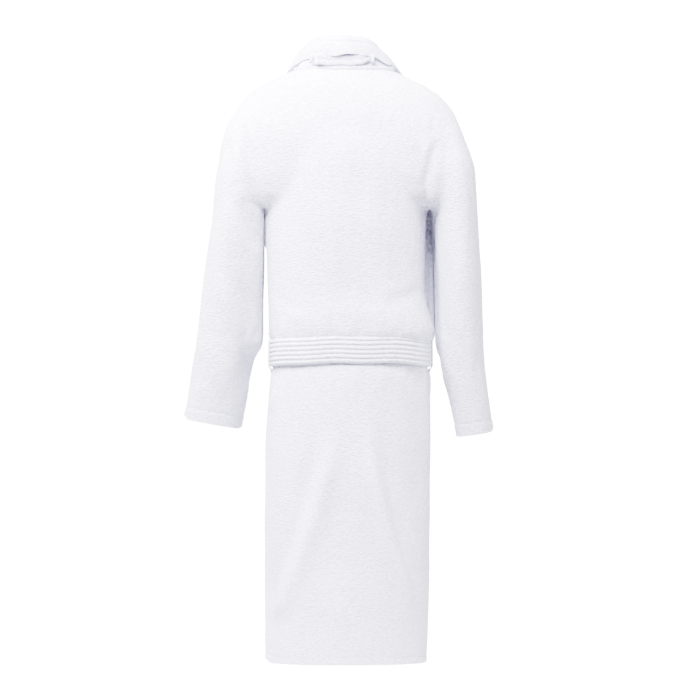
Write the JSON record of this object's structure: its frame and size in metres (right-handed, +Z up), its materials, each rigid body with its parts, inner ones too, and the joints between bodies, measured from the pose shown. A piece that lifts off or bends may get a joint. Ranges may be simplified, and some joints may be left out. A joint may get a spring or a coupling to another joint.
{
  "type": "bathrobe",
  "caption": "Wrap bathrobe in cotton terry with shawl collar, dropped sleeves, patch pockets and a tied waist belt, hanging as worn.",
  "frame": {"origin": "middle of the neckline, level with the neck seam at the back, between the wearer's shoulders", "axes": "+Z up; the front of the robe faces -Y and its back faces +Y; +X is the wearer's left"},
  "size_m": [0.6274, 0.3052, 1.26],
  "materials": {
    "terry": "white cotton terry, looped pile, matt",
    "collar_terry": "doubled white cotton terry, matt",
    "belt_terry": "channel-stitched white cotton terry webbing, matt",
    "label": "smooth woven satin tape, blank"
  },
  "bodies": {
    "robe_body": {"back_panel": "terry", "left_front_panel": "terry", "right_front_panel": "terry", "back_hem": "terry", "left_front_hem": "terry", "right_front_hem": "terry", "collar_stand": "collar_terry", "collar_fall": "collar_terry", "left_lapel": "collar_terry", "right_lapel": "collar_terry", "left_hanger_tack": "collar_terry", "right_hanger_tack": "collar_terry", "care_label": "label", "belt_wrap": "belt_terry", "belt_knot": "belt_terry", "left_belt_loop": "belt_terry", "left_pocket": "terry", "left_pocket_hem": "terry", "right_belt_loop": "belt_terry", "right_pocket": "terry", "right_pocket_hem": "terry"},
    "left_sleeve": {"left_sleeve": "terry", "left_cuff_hem": "terry"},
    "right_sleeve": {"right_sleeve": "terry", "right_cuff_hem": "terry"},
    "left_tail": {"left_belt_tail": "belt_terry"},
    "right_tail": {"right_belt_tail": "belt_terry"},
    "hanger": {"hanger_loop": "collar_terry"}
  },
  "joints": [
    {"name": "left_sleeve_lift", "type": "hinge", "parent": "robe_body", "child": "left_sleeve", "pos_m": [0.264, 0, -0.161], "axis": [0, -1, 0], "range_deg": [0, 60]},
    {"name": "right_sleeve_lift", "type": "hinge", "parent": "robe_body", "child": "right_sleeve", "pos_m": [-0.264, 0, -0.161], "axis": [0, 1, 0], "range_deg": [0, 60]},
    {"name": "left_tail_swing", "type": "hinge", "parent": "robe_body", "child": "left_tail", "pos_m": [0.03, -0.1532, -0.6002], "axis": [-1, 0, 0], "range_deg": [0, 70]},
    {"name": "right_tail_swing", "type": "hinge", "parent": "robe_body", "child": "right_tail", "pos_m": [-0.01, -0.1532, -0.6002], "axis": [-1, 0, 0], "range_deg": [0, 70]},
    {"name": "hanger_lift", "type": "hinge", "parent": "robe_body", "child": "hanger", "pos_m": [0.0135, 0.069, 0.0265], "axis": [1, 0, 0], "range_deg": [0, 75]}
  ]
}
